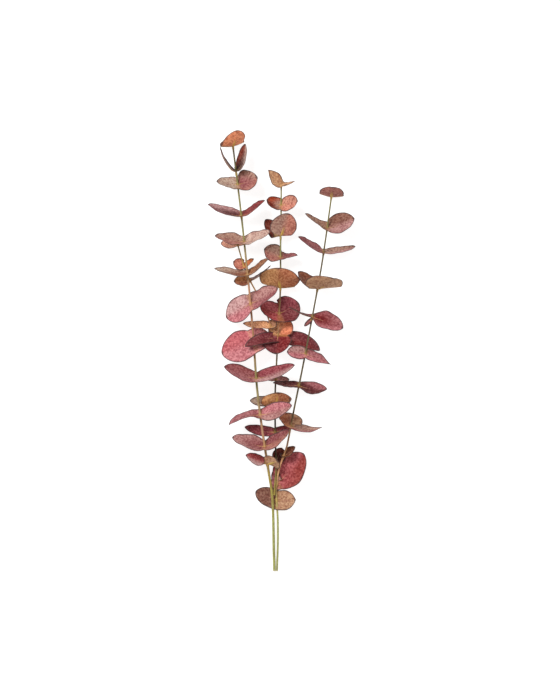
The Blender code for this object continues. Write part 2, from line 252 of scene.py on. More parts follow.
class Blade:
    """The surface of one pair, by the share of the way from tip (-1) past stalk (0) to tip (1)."""

    def __init__(self, pair: Pair, knuckle: Vector, direction: Vector, seed: int) -> None:
        """Work out both leaves' directions.

        Args:
            pair: The two leaves.
            knuckle: Where the stalk runs through them.
            direction: The stalk's direction there.
            seed: The seed of the blade's waves.
        """
        self.pair = pair
        self.knuckle = knuckle
        self.sides = [self.side(pair.left, direction, -1), self.side(pair.right, direction, 1)]
        draw = random.Random(seed)
        turn, sizes = (0, math.tau), FORM.wave_sizes
        self.waves = [
            (draw.choice(FORM.wave_counts), draw.uniform(*turn), draw.uniform(*sizes))
            for _ in self.sides
        ]
        self.crinkles = [
            (draw.choice(FORM.crinkle_counts), draw.uniform(*turn)) for _ in self.sides
        ]

    @staticmethod
    def side(half: Half, direction: Vector, sign: int) -> tuple:
        """One leaf's length, bend and directions.

        Args:
            half: The leaf.
            direction: The stalk's direction at the knuckle.
            sign: -1 for the left leaf and 1 for the right one.

        Returns:
            Its length, its bend in radians, and the directions along it, across it and out of its
            upper face.
        """
        along = Vector(half.tip).normalized()
        up = (direction - along * direction.dot(along)).normalized()
        across = along.cross(up) * sign
        roll = math.radians(half.roll)
        turned = up * math.cos(roll) + across * math.sin(roll)
        across = across * math.cos(roll) - up * math.sin(roll)
        return Vector(half.tip).length, math.radians(half.arch), along, across, turned

    def rib(self, s: float) -> Vector:
        """The point of the rib at s, on an arc from the knuckle to the tip."""
        length, bend, along, _, up = self.sides[s > 0]
        radius = length / (2 * math.sin(bend / 2))
        turn = bend * (abs(s) - 0.5)
        forward = radius * (math.sin(turn) + math.sin(bend / 2))
        rise = radius * (math.cos(bend / 2) - math.cos(turn))
        return self.knuckle + along * forward + up * rise

    def middle(self, s: float) -> Vector:
        """The rib with its fold at the stalk rounded off."""
        if abs(s) >= FORM.fold_rounding:
            return self.rib(s)
        t = (s / FORM.fold_rounding + 1) / 2
        first, last = self.rib(-FORM.fold_rounding), self.rib(FORM.fold_rounding)
        return first * (1 - t) ** 2 + self.knuckle * (2 * t * (1 - t)) + last * t**2

    def half_width(self, s: float) -> float:
        """Half the blade's width at s."""
        share = crossing(s, FORM.roll_blend)
        width = self.pair.left.width * (1 - share) + self.pair.right.width * share
        u = abs(s)
        if u < FORM.widest:
            narrowing = (1 - self.pair.waist) * ((FORM.widest - u) / FORM.widest) ** 2
            return 0.5 * width * (1 - narrowing)
        point = (self.pair.left, self.pair.right)[s > 0].point
        return 0.5 * width * max(0.0, 1 - ((u - FORM.widest) / (1 - FORM.widest)) ** 2) ** point

    def surface(self, s: float, v: float) -> tuple[Vector, Vector]:
        """The blade's middle surface.

        Args:
            s: The share of the way along the pair, from -1 to 1.
            v: The share of the way across it, from -1 to 1.

        Returns:
            The place there, and the direction out of the upper face.
        """
        share = crossing(s, FORM.roll_blend)
        after, before = min(1, s + FORM.tangent_step), max(-1, s - FORM.tangent_step)
        tangent = (self.middle(after) - self.middle(before)).normalized()
        across = self.sides[0][3] * (1 - share) + self.sides[1][3] * share
        across = (across - tangent * across.dot(tangent)).normalized()
        up = across.cross(tangent)
        half = self.half_width(s)
        count, phase, size = self.waves[v > 0]
        height = FORM.wave_height * size * half / FORM.wave_half_width
        wave = height * v * v * math.sin(count * math.pi * s + phase)
        ripples, start = self.crinkles[v > 0]
        crinkle = FORM.crinkle_height * v**FORM.crinkle_power
        wave += crinkle * math.sin(ripples * math.pi * s + start)
        dip = FORM.rib_dip * math.exp(-((half * v / FORM.rib_reach) ** 2))
        dip *= ease(abs(s) * FORM.rib_dip_growth)
        rise = self.pair.cup * half * abs(v) ** FORM.cup_power + wave - dip
        place = self.middle(s) + across * (half * v) + up * rise
        place.z = max(place.z, self.pair.level + FORM.solid_thickness / 2 * abs(up.z))
        return place, up

    def colours(self, s: float, v: float) -> tuple[tuple, tuple]:
        """The tones of the upper face and of the underside at a place on the blade.

        Args:
            s: The share of the way along the pair.
            v: The share of the way across it.

        Returns:
            Two linear colours.
        """
        share = crossing(s, FORM.stalk_blend)
        # over runs to the tones beyond the rib: partly the leaf's own colour, partly painted fold
        # shade
        over = crossing(v, FORM.rib_blend)
        uppers, unders = [], []
        for half in (self.pair.left, self.pair.right):
            # near runs to heart round the stalk: partly the leaf's own colour, partly painted shade
            # of the cup
            off = math.hypot(abs(s) / half.heart_reach, v / FORM.heart_breadth)
            near = ease(FORM.heart_fade - off)
            tone = half.upper_tone(over)
            uppers.append(blend(tone, half.heart_tone_and_shade.rgba, near) if half.heart_tone_and_shade else tone)
            unders.append(half.under_tone(over))
        return blend(*uppers, share), blend(*unders, share)


def select_only(*things: bpy.types.Object) -> None:
    """Select these objects alone, with the first one active."""
    bpy.ops.object.select_all(action="DESELECT")
    for thing in things:
        thing.select_set(True)
    bpy.context.view_layer.objects.active = things[0]


def in_frame(place: Vector) -> Vector:
    """A place measured from the cut end, in millimetres, as metres in the frame."""
    return (place - BOX_MIDDLE) * MM


def add_attribute(mesh: bpy.types.Mesh, name: str, values: list | tuple) -> None:
    """Store a value at each of the mesh's points.

    Args:
        mesh: The mesh.
        name: The attribute's name, which the finishes read.
        values: A number or a colour for each point.
    """
    if isinstance(values[0], tuple):
        layer = mesh.attributes.new(name, "FLOAT_COLOR", "POINT")
        layer.data.foreach_set("color", [channel for colour in values for channel in colour])
    else:
        layer = mesh.attributes.new(name, "FLOAT", "POINT")
        layer.data.foreach_set("value", values)


class Nodes:
    """A short way to lay out the nodes of a material or of a node group."""

    def __init__(self, tree: bpy.types.NodeTree) -> None:
        """Start with this tree."""
        self.tree = tree

    def add(self, kind: str, inputs: dict | None = None, **settings: object) -> bpy.types.Node:
        """Add a node.

        Args:
            kind: The node's type, without its ShaderNode prefix.
            inputs: Values or output sockets for its inputs, by name or number.
            **settings: Values of the node's own properties.

        Returns:
            The new node.
        """
        node = self.tree.nodes.new(f"ShaderNode{kind}")
        for key, value in settings.items():
            setattr(node, key, value)
        for key, value in (inputs or {}).items():
            if isinstance(value, bpy.types.NodeSocket):
                self.tree.links.new(value, node.inputs[key])
            else:
                node.inputs[key].default_value = value
        return node

    def math(self, operation: str, *values: object) -> bpy.types.NodeSocket:
        """The result of a Math node."""
        node = self.add("Math", dict(enumerate(values)), operation=operation)
        return node.outputs[0]

    def ramp(self, value: object, span: Range, *ends: float) -> bpy.types.NodeSocket:
        """A value mapped smoothly from this range to the one between the ends, or to 0 to 1."""
        inputs = dict(enumerate((value, *span, *ends)))
        return self.add("MapRange", inputs, interpolation_type="SMOOTHSTEP").outputs[0]

    def mix(self, factor: object, first: object, last: object) -> bpy.types.NodeSocket:
        """The mix of two colours."""
        return self.add("Mix", {0: factor, 6: first, 7: last}, data_type="RGBA").outputs[2]

    def tint(self, first: object, last: object) -> bpy.types.NodeSocket:
        """The product of two colours."""
        inputs = {0: 1.0, 6: first, 7: last}
        return self.add("Mix", inputs, data_type="RGBA", blend_type="MULTIPLY").outputs[2]

    def noise(self, scale: object, **inputs: object) -> bpy.types.NodeSocket:
        """A noise in the object's own coordinates."""
        place = self.add("TexCoord").outputs["Object"]
        return self.add("TexNoise", {"Vector": place, "Scale": scale, **inputs}).outputs["Fac"]

    def attribute(self, name: str, output: str = "Fac") -> bpy.types.NodeSocket:
        """An attribute of the mesh."""
        return self.add("Attribute", attribute_name=name).outputs[output]


def new_group(name: str, inputs: dict[str, object], outputs: dict[str, str]) -> tuple:
    """A new shader node group.

    Args:
        name: The group's name.
        inputs: Each input's first value, a number or a colour, by name.
        outputs: Each output's kind, by name.

    Returns:
        The group's tree, its nodes, and its input and output nodes.
    """
    tree = bpy.data.node_groups.new(name, "ShaderNodeTree")
    for key, value in inputs.items():
        kind = "Color" if isinstance(value, tuple) else "Float"
        socket = tree.interface.new_socket(key, in_out="INPUT", socket_type=f"NodeSocket{kind}")
        socket.default_value = value
    for key, kind in outputs.items():
        tree.interface.new_socket(key, in_out="OUTPUT", socket_type=f"NodeSocket{kind}")
    nodes = Nodes(tree)
    return tree, nodes, tree.nodes.new("NodeGroupInput"), tree.nodes.new("NodeGroupOutput")


@dataclass(frozen=True)
class MottleLayer:
    """One layer of the mottling: its noise, and how dark and how pale it gets."""

    name: str
    scale: float
    detail: float
    depth: float
    paleness: float


@dataclass(frozen=True)
class MottleLook:
    """What the mottling does to a tone."""

    layers: tuple[MottleLayer, ...] = (
        MottleLayer("Patch", 95.0, 4.0, 0.7, 0.8),
        MottleLayer("Fleck", 330.0, 2.0, 0.9, 0.9),
        MottleLayer("Speckle", 1100.0, 2.0, 0.6, 0.5),
    )
    noise_roughness: float = 0.62
    dark_range: Range = (0.50, 0.62)
    pale_range: Range = (0.49, 0.38)
    dark: Colour = (0.60, 0.44, 0.45, 1)
    lit: Colour = (1.24, 1.30, 1.28, 1)
    bloom: Colour = (0.52, 0.40, 0.34, 1)
    bloom_share: float = 0.12


@dataclass(frozen=True)
class VeinLook:
    """The rib and the side veins. Lengths are in millimetres."""

    spacing: float = 5.2
    slant: float = 0.9
    wobble_scale: float = 160.0
    wobble: float = 3.0
    line_range: Range = (0.13, 0.0)
    fade_range: Range = (16.0, 2.0)
    taper_range: Range = (45.0, 0.0)
    tip_share: float = 0.3
    edge_range: Range = (0.5, 1.3)


class Effects:
    """The effects that several finishes share, each a node group that is built once."""

    def __init__(self) -> None:
        """Build the groups."""
        self.mottle = self.build_mottle(MottleLook())
        self.veins = self.build_veins(VeinLook())

    @staticmethod
    def build_mottle(look: MottleLook) -> bpy.types.NodeTree:
        """Cloudy patches, flecks and fine speckles, darker and redder or with a pale bloom.

        Args:
            look: The layers and their colours.

        Returns:
            The group, which puts out a colour and a height.
        """
        inputs = {"Tone": Tone.WINE.rgba}
        for layer in look.layers:
            inputs |= {f"{layer.name} Scale": layer.scale, f"{layer.name} Amount": 1.0}
        outputs = {"Color": "Color", "Height": "Float"}
        tree, nodes, entry, result = new_group("Mottle", inputs, outputs)
        tone = entry.outputs["Tone"]
        dark = nodes.tint(tone, look.dark)
        bloom = nodes.mix(look.bloom_share, nodes.tint(tone, look.lit), look.bloom)
        colour = tone
        for layer in look.layers:
            scale, amount = (entry.outputs[f"{layer.name} {key}"] for key in ("Scale", "Amount"))
            noise = nodes.noise(scale, Detail=layer.detail, Roughness=look.noise_roughness)
            for span, end, over in (
                (look.dark_range, layer.depth, dark),
                (look.pale_range, layer.paleness, bloom),
            ):
                share = nodes.math("MULTIPLY", nodes.ramp(noise, span, 0.0, end), amount)
                colour = nodes.mix(share, colour, over)
        tree.links.new(colour, result.inputs["Color"])
        tree.links.new(noise, result.inputs["Height"])
        return tree

    @staticmethod
    def build_veins(look: VeinLook) -> bpy.types.NodeTree:
        """A rib and slanted side veins, by the distances from the rib and from the stalk.

        Args:
            look: The veins' sizes.

        Returns:
            The group, which puts out a mask of the rib and one of the side veins.
        """
        inputs = {"From Rib": 0.0, "From Stalk": 0.0, "Rib Width": 1.0}
        outputs = {"Rib": "Float", "Veins": "Float"}
        tree, nodes, entry, result = new_group("Veins", inputs, outputs)
        off_rib = entry.outputs["From Rib"]
        out = entry.outputs["From Stalk"]
        wobble = nodes.math("MULTIPLY", nodes.noise(look.wobble_scale), look.wobble)
        lean = nodes.math("MULTIPLY", off_rib, look.slant)
        slanted = nodes.math("SUBTRACT", nodes.math("ADD", out, wobble), lean)
        turn = nodes.math("FRACT", nodes.math("DIVIDE", slanted, look.spacing))
        off_line = nodes.math("ABSOLUTE", nodes.math("SUBTRACT", turn, 0.5))
        line = nodes.ramp(off_line, look.line_range)
        faded = nodes.math("MULTIPLY", line, nodes.ramp(off_rib, look.fade_range))
        tree.links.new(faded, result.inputs["Veins"])
        taper = nodes.ramp(out, look.taper_range, look.tip_share, 1.0)
        edge = nodes.math("MULTIPLY", entry.outputs["Rib Width"], taper)
        rib = nodes.ramp(nodes.math("DIVIDE", off_rib, edge), look.edge_range, 1.0, 0.0)
        tree.links.new(rib, result.inputs["Rib"])
        return tree


@dataclass(frozen=True, kw_only=True)
class Finish:
    """A matt finish over a mottled tone. mottling holds inputs of the Mottle group."""

    name: str
    mottling: dict[str, float]
    roughness: Range
    relief: float
    relief_distance: float
    specular: float
    tone_attribute: str = "tone"
    noise_range: Range = (0.3, 0.7)

    def cover(self, nodes: Nodes, mottle: bpy.types.Node, effects: Effects) -> tuple:
        """The colour over the mottled tone, the noise of the roughness, and the height."""
        raise NotImplementedError

    def build(self, effects: Effects) -> bpy.types.Material:
        """The material.

        Args:
            effects: The shared node groups.

        Returns:
            A new material.
        """
        material = bpy.data.materials.new(self.name)
        material.use_nodes = True
        nodes = Nodes(material.node_tree)
        tone = nodes.attribute(self.tone_attribute, "Color")
        mottle = nodes.add("Group", {"Tone": tone, **self.mottling}, node_tree=effects.mottle)
        colour, noise, height = self.cover(nodes, mottle, effects)
        inputs = {"Height": height, "Strength": self.relief, "Distance": self.relief_distance}
        surface = {
            "Base Color": colour,
            "Roughness": nodes.ramp(noise, self.noise_range, *self.roughness),
            "Normal": nodes.add("Bump", inputs).outputs["Normal"],
        }
        shader = material.node_tree.nodes["Principled BSDF"]
        shader.inputs["Specular IOR Level"].default_value = self.specular
        for key, socket in surface.items():
            material.node_tree.links.new(socket, shader.inputs[key])
        return material


@dataclass(frozen=True, kw_only=True)
class LeafFinish(Finish):
    """The finish of one face of the leaves, with veins, a rib, a golden collar and a dark rim."""

    vein_amount: float
    rim_colour_and_shade_amount: float
    rib_colour: Colour = blend(Tone.SALMON.rgba, Tone.ROSE.rgba, 0.4)
    rib_width: float = 0.7
    rib_reach: float = 30.0
    rib_amount: float = 0.0
    collar_amount: float = 0.0
    relief_distance: float = 0.0004
    specular: float = 0.18
    vein_shade: Colour = (0.6, 0.5, 0.5, 1)
    vein_depth: float = -0.8
    full_rib_share: float = 1 / 3
    collar_range: Range = (4.5, 1.0)
    rim_raggedness: float = 0.9
    rim_range: Range = (2.6, 1.3)
    rim_shade: Colour = (0.34, 0.30, 0.32, 1)
    rim_brown: Colour = (0.10, 0.075, 0.07, 1)
    rim_brown_share: float = 0.45

    def cover(self, nodes: Nodes, mottle: bpy.types.Node, effects: Effects) -> tuple:
        """The colour over the mottled tone, the noise of the roughness, and the height."""
        colour, noise = mottle.outputs["Color"], mottle.outputs["Height"]
        out = nodes.attribute("from_stalk")
        off_rib = nodes.attribute("from_rib")
        inputs = {"From Rib": off_rib, "From Stalk": out, "Rib Width": self.rib_width}
        lines = nodes.add("Group", inputs, node_tree=effects.veins)
        veins, rib = lines.outputs["Veins"], lines.outputs["Rib"]
        faint = nodes.math("MULTIPLY", veins, self.vein_amount)
        colour = nodes.mix(faint, colour, nodes.tint(colour, self.vein_shade))
        fade = (self.rib_reach, self.rib_reach * self.full_rib_share)
        rib = nodes.math("MULTIPLY", rib, nodes.ramp(out, fade, 0.0, self.rib_amount))
        colour = nodes.mix(rib, colour, self.rib_colour)
        collar = nodes.ramp(out, self.collar_range, 0.0, self.collar_amount)
        colour = nodes.mix(collar, colour, Tone.STALK_GOLD.rgba)
        # The dark rim: partly the edge's own darker colour, partly painted shade of the leaf's
        # thickness and curl at its edge.
        ragged = nodes.math("MULTIPLY", noise, self.rim_raggedness)
        inward = nodes.math("ADD", nodes.attribute("from_edge"), ragged)
        rim = nodes.ramp(inward, self.rim_range, 0.0, self.rim_colour_and_shade_amount)
        shaded = nodes.mix(self.rim_brown_share, nodes.tint(colour, self.rim_shade), self.rim_brown)
        height = nodes.math("ADD", noise, nodes.math("MULTIPLY", veins, self.vein_depth))
        return nodes.mix(rim, colour, shaded), noise, height


@dataclass(frozen=True, kw_only=True)
class StalkFinish(Finish):
    """The finish of the stalks and ribs, with fine streaks along them."""

    relief_distance: float = 0.0003
    specular: float = 0.3
    streak_scale: Triple = (1800, 90, 1800)
    streak_detail: float = 3.0
    streak_range: Range = (0.5, 0.7)
    streak_amount: float = 0.55
    streak_shade: Colour = (0.55, 0.5, 0.45, 1)

    def cover(self, nodes: Nodes, mottle: bpy.types.Node, effects: Effects) -> tuple:
        """The colour over the mottled tone, the noise of the roughness, and the height."""
        own = nodes.add("TexCoord").outputs["Object"]
        place = nodes.add("Mapping", {"Vector": own, "Scale": self.streak_scale}).outputs[0]
        inputs = {"Vector": place, "Scale": 1.0, "Detail": self.streak_detail}
        streak = nodes.add("TexNoise", inputs).outputs["Fac"]
        colour = mottle.outputs["Color"]
        amount = nodes.ramp(streak, self.streak_range, 0.0, self.streak_amount)
        return nodes.mix(amount, colour, nodes.tint(colour, self.streak_shade)), streak, streak


class Finishes:
    """Every finish of the spray, built once."""

    def __init__(self) -> None:
        """Build the materials over the shared effects."""
        effects = Effects()
        self.upper = LeafFinish(
            name="leaf_upper",
            mottling={"Patch Amount": 0.75, "Fleck Amount": 1.0, "Speckle Amount": 0.5},
            vein_amount=0.75,
            rib_amount=0.4,
            rim_colour_and_shade_amount=1.0,
            collar_amount=0.2,
            roughness=(0.52, 0.66),
            relief=0.5,
        ).build(effects)
        self.under = LeafFinish(
            name="leaf_under",
            tone_attribute="under_tone",
            mottling={"Patch Amount": 0.6, "Fleck Amount": 0.9, "Speckle Amount": 0.45},
            vein_amount=0.7,
            rib_colour=Tone.RIB_GOLD.rgba,
            rib_width=1.9,
            rib_reach=22.0,
            rib_amount=0.95,
            rim_colour_and_shade_amount=0.95,
            collar_amount=0.35,
            roughness=(0.60, 0.74),
            relief=0.4,
        ).build(effects)
        self.rim = LeafFinish(
            name="leaf_rim",
            mottling={"Patch Amount": 0.2, "Fleck Amount": 0.2, "Speckle Amount": 0.2},
            vein_amount=0.0,
            rim_colour_and_shade_amount=1.0,
            roughness=(0.54, 0.68),
            relief=0.2,
        ).build(effects)
        self.stalk = StalkFinish(
            name="stalk_bark",
            mottling={
                "Patch Scale": 140.0,
                "Patch Amount": 0.35,
                "Fleck Amount": 0.3,
                "Speckle Scale": 1400.0,
                "Speckle Amount": 0.4,
            },
            roughness=(0.47, 0.65),
            relief=0.5,
        ).build(effects)


@dataclass
class LeafyStem:
    """One stalk with its pairs of leaves."""

    name: str
    route: list[Triple]
    foot_radius: float
    top_radius: float
    tones: tuple[Tone, ...]
    pairs: list[Pair]
    cut_end: bool = False
    ring_step: float = 2.5
    route_step: float = 14.0
    bevel_resolution: int = 3
    knuckle_swell: float = 0.5
    knuckle_reach: float = 2.4
    knuckle_gold: float = 0.45
    knuckle_gold_reach: float = 3.0
    rib_radius: float = 0.7
    rib_taper: float = 0.8
    rib_share: float = 0.8
    rib_points: int = 14
    rib_paint_start: float = 0.08
    rib_gold_fade: float = 1.5
    leaf_crease: float = math.radians(50)
    stalk_crease: float = math.radians(60)
    weld: float = 0.01

    def smooth_route(self) -> list[Vector]:
        """The frame's points of the stalk's middle line."""
        points = [Vector(p) for p in self.route]
        ends = [points[0] * 2 - points[1], *points, points[-1] * 2 - points[-2]]
        smooth = []
        for a, b, c, d in zip(ends, ends[1:], ends[2:], ends[3:]):
            steps = max(1, round((c - b).length / self.route_step))
            for t in (i / steps for i in range(steps)):
                bend = (2 * a - 5 * b + 4 * c - d) * t**2 + (3 * b - a - 3 * c + d) * t**3
                smooth.append(0.5 * (2 * b + (c - a) * t + bend))
        return [*smooth, points[-1]]

    @staticmethod
    def on_route(smooth: list[Vector], height: float) -> tuple[Vector, Vector]:
        """The middle line's point at this height up the spray, and its direction there."""
        for a, b in zip(smooth, smooth[1:]):
            if a.y <= height <= b.y:
                return a.lerp(b, (height - a.y) / (b.y - a.y)), (b - a).normalized()
        raise ValueError(f"no point of the stalk is {height} mm up the spray")

    def blades(self) -> list[Blade]:
        """The stem's blades, in order from the top."""
        smooth = self.smooth_route()
        return [
            Blade(pair, *self.on_route(smooth, pair.height), FORM.wave_seed + i)
            for i, pair in enumerate(self.pairs)
        ]

    def build_blade(self, blade: Blade, name: str, finishes: Finishes) -> bpy.types.Object:
        """One blade as a grid shaped to its surface, with its thickness, distances and tones.

        Args:
            blade: The blade's surface.
            name: The object's name.
            finishes: The spray's materials.

        Returns:
            The new object.
        """
        bpy.ops.mesh.primitive_grid_add(
            x_subdivisions=FORM.rows, y_subdivisions=FORM.columns, size=2
        )
        thing = bpy.context.object
        thing.name = name
        mesh = thing.data
        shares = [(-math.cos(math.pi * (vert.co.x + 1) / 2), vert.co.y) for vert in mesh.vertices]
        lengths = [side[0] for side in blade.sides]
        rows = []
        for vert, (s, v) in zip(mesh.vertices, shares):
            place, _ = blade.surface(s, v)
            vert.co = in_frame(place)
            half = blade.half_width(s)
            length = lengths[s > 0]
            to_tip = (1 - abs(s)) * length * FORM.tip_edge_share
            distances = (abs(v) * half, min((1 - abs(v)) * half, to_tip), abs(s) * length)
            rows.append((*distances, *blade.colours(s, v)))
        names = ("from_rib", "from_edge", "from_stalk", "tone", "under_tone")
        for key, values in zip(names, zip(*rows)):
            add_attribute(mesh, key, values)
        for material in (finishes.under, finishes.upper, finishes.rim):
            mesh.materials.append(material)
        select_only(thing)
        bpy.ops.object.mode_set(mode="EDIT")
        bpy.ops.mesh.select_all(action="SELECT")
        bpy.ops.mesh.remove_doubles(threshold=self.weld * MM)
        bpy.ops.object.mode_set(mode="OBJECT")
        wall = thing.modifiers.new("thickness", "SOLIDIFY")
        wall.thickness = FORM.thickness * MM
        wall.offset = 0
        wall.material_offset = 1
        wall.material_offset_rim = 2
        bpy.ops.object.modifier_apply(modifier=wall.name)
        return thing

    def build_leaves(self, finishes: Finishes) -> bpy.types.Object:
        """All the stem's blades as one piece.

        Args:
            finishes: The spray's materials.

        Returns:
            The piece.
        """
        blades = [
            self.build_blade(blade, f"{self.name}_blade_{i}", finishes)
            for i, blade in enumerate(self.blades())
        ]
        select_only(*blades)
        bpy.ops.object.join()
        leaves = bpy.context.object
        leaves.name = f"{self.name}_leaves"
        bpy.ops.object.transform_apply(location=True, rotation=True, scale=True)
        bpy.ops.object.shade_smooth_by_angle(angle=self.leaf_crease)
        return leaves

    def fine_route(self) -> list[Vector]:
        """The middle line at a finer step."""
        fine = []
        smooth = self.smooth_route()
        for a, b in zip(smooth, smooth[1:]):
            steps = max(1, round((b - a).length / self.ring_step))
            fine.extend(a.lerp(b, i / steps) for i in range(steps))
        return [*fine, smooth[-1]]

    @staticmethod
    def nearness(place: Vector, knuckles: list[Vector], reach: float) -> float:
        """1 at a knuckle, and less the farther the place is from every one."""
        nearest = min((place - knuckle).length for knuckle in knuckles)
        return math.exp(-((nearest / reach) ** 2))

    def radius_at(self, share: float, place: Vector, knuckles: list[Vector]) -> float:
        """The stalk's radius, with a swelling at each knuckle."""
        radius = self.foot_radius + (self.top_radius - self.foot_radius) * share
        near = self.nearness(place, knuckles, self.knuckle_reach)
        return radius * (1 + self.knuckle_swell * near)

    @staticmethod
    def add_spline(curve: bpy.types.Curve, places: list[Vector], radii: list[float]) -> None:
        """Add a run of points with their radii, in millimetres, to a bevelled curve."""
        spline = curve.splines.new("POLY")
        spline.points.add(len(places) - 1)
        for point, place, radius in zip(spline.points, places, radii):
            point.co = in_frame(place).to_4d()
            point.radius = radius

    def build_stalk(self, finishes: Finishes) -> bpy.types.Object:
        """The tapered stalk with its knuckles, and the ribs under its leaves, as one piece.

        Args:
            finishes: The spray's materials.

        Returns:
            The piece.
        """
        curve = bpy.data.curves.new(f"{self.name}_stalk", "CURVE")
        curve.dimensions = "3D"
        curve.bevel_depth = MM
        curve.bevel_resolution = self.bevel_resolution
        curve.use_fill_caps = True
        blades = self.blades()
        knuckles = [blade.knuckle for blade in blades]
        fine = self.fine_route()
        last = len(fine) - 1
        radii = [self.radius_at(i / last, place, knuckles) for i, place in enumerate(fine)]
        self.add_spline(curve, fine, radii)
        marks = self.route_marks(fine, knuckles)
        for blade in blades:
            for sign in (-1, 1):
                places, radii = [], []
                for i in range(self.rib_points):
                    share = i / (self.rib_points - 1)
                    spot = sign * share * self.rib_share
                    place, up = blade.surface(spot, 0)
                    places.append(place - up * (FORM.thickness / 2))
                    radii.append(self.rib_radius * (1 - self.rib_taper * share))
                    if share > self.rib_paint_start:
                        _, under = blade.colours(spot, 0)
                        tone = blend(Tone.STALK_GOLD.rgba, under, ease(share * self.rib_gold_fade))
                        marks.append((places[-1], tone))
                self.add_spline(curve, places, radii)
        thing = bpy.data.objects.new(curve.name, curve)
        bpy.context.scene.collection.objects.link(thing)
        select_only(thing)
        bpy.ops.object.convert(target="MESH")
        stalk = bpy.context.object
        self.paint_stalk(stalk, marks)
        stalk.data.materials.clear()
        stalk.data.materials.append(finishes.stalk)
        bpy.ops.object.shade_smooth_by_angle(angle=self.stalk_crease)
        return stalk

    def route_marks(self, fine: list[Vector], knuckles: list[Vector]) -> list[tuple[Vector, tuple]]:
        """The stalk's colour at each point of its middle line, golden at the knuckles.

        Args:
            fine: The middle line.
            knuckles: The knuckles' places.

        Returns:
            Each point with its colour.
        """
        marks = []
        last = len(fine) - 1
        for i, place in enumerate(fine):
            spot = i / last * (len(self.tones) - 1)
            first = min(int(spot), len(self.tones) - 2)
            tone = blend(self.tones[first].rgba, self.tones[first + 1].rgba, spot - first)
            gold = self.knuckle_gold * self.nearness(place, knuckles, self.knuckle_gold_reach)
            marks.append((place, blend(tone, Tone.STALK_GOLD.rgba, gold)))
        if self.cut_end:
            marks[0] = (marks[0][0], Tone.CUT_WOOD.rgba)
        return marks

    @staticmethod
    def paint_stalk(stalk: bpy.types.Object, marks: list[tuple[Vector, tuple]]) -> None:
        """Press the stalk flat where it lies on the surface, and store the tone at each point.

        Args:
            stalk: The stalk's object.
            marks: Places on the stalk and its ribs, in millimetres, each with its colour.
        """
        tree = KDTree(len(marks))
        for i, (place, _) in enumerate(marks):
            tree.insert(in_frame(place), i)
        tree.balance()
        tones = []
        for vert in stalk.data.vertices:
            vert.co.z = max(0.0, vert.co.z)
            tones.append(marks[tree.find(vert.co)[1]][1])
        add_attribute(stalk.data, "tone", tones)

    def build(self, finishes: Finishes) -> None:
        """Build, dress and register the stem's leaves and stalk in place of its node."""
        leaves = self.build_leaves(finishes)
        stalk = self.build_stalk(finishes)
        for piece in (leaves, stalk):
            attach(piece, "root")
            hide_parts(self.name)
            LOG.info("%s: %d faces", piece.name, len(piece.data.polygons))


# The tables below name many tones
T = Tone

LEFT_PAIRS = [
    Pair(
        622,
        Half((-6, 12, -22), 34, 6, T.UMBER),
        Half((5, 24, 26), 36, 8, T.SALMON, point=0.75, under=T.BRIGHT_CORAL),
        waist=1.05,
    ),
    Pair(
        583,
        # Both hearts are painted shade of the cup round the stalk; the right leaf's dark half is
        # partly painted shade of its fold.
        Half((-24, 41, 4), 26, 20, T.MAROON, T.RUST, arch=46, point=1.1, heart_tone_and_shade=T.CUP_SHADE_BROWN),
        Half((13, 44, 2), 27, 42, T.RUST, T.PALE_SAND, arch=36, heart_tone_and_shade=T.CUP_SHADE_BROWN),
    ),
    Pair(
        567,
        Half((-31, 5, 3), 32, 34, T.SAND),
        Half((29, 11, 2), 42, 52, T.TAUPE, T.DUSTY_CORAL, heart_tone_and_shade=T.WINE, heart_reach=0.8),
    ),
    Pair(
        520,
        Half((-49, 18, 4), 38, 24, T.PALE_MAUVE, T.WINE, heart_tone_and_shade=T.DARK_PLUM, heart_reach=0.8),
        Half((34, 24, 4), 34, 20, T.CRIMSON, T.BRICK),
    ),
    Pair(
        483,
        Half((-43, 9, 3), 38, 28, T.TAUPE, T.DUSTY_CORAL),
        Half((38, 15, 12), 36, 30, T.PALE_SAND),
    ),
    Pair(
        434,
        Half((-49, 10, 4), 36, 18, T.SAND, T.STONE, heart_tone_and_shade=T.UMBER),
        Half((30, 24, 16), 32, 28, T.BRONZE, T.FAWN),
    ),
    Pair(
        393,
        Half((-36, -20, -14), 42, 68, T.PALE_MAUVE, T.PINK),
        Half((40, 22, 8), 42, 36, T.MAUVE, T.ROSE),
    ),
    Pair(
        337,
        Half((-47, -17, -14), 47, 76, T.BRIGHT_PINK, T.PINK),
        # painted light: the tone is lighter than this leaf's own colour, to lift the shadow cast on
        # it from above
        Half((21, 14, -14), 36, 58, T.LIGHT_PINK),
        waist=0.9,
    ),
    Pair(
        282,
        Half((-47, 19, 2), 38, 32, T.WINE, T.ROSE),
        Half((56, 21, 13), 34, 34, T.BURGUNDY, T.PALE_MAUVE),
    ),
    Pair(
        229,
        Half((-46, -14, 2), 28, 14, T.ROSE, T.WINE, arch=-50),
        Half((46, 15, 24), 28, 60, T.PINK, T.MAUVE),
    ),
    Pair(
        182,
        Half((-48, 15, 0), 34, 30, T.MAUVE, arch=8, heart_tone_and_shade=T.WINE),
        Half((36, 25, 22), 26, 46, T.WINE, T.DUSTY_CORAL),
    ),
    Pair(
        157,
        Half((-32, 14, 0), 28, 26, T.ROSE_RED, T.PALE_MAUVE),
        Half((15, 6, 17), 28, -60, under=T.TAN),
    ),
]

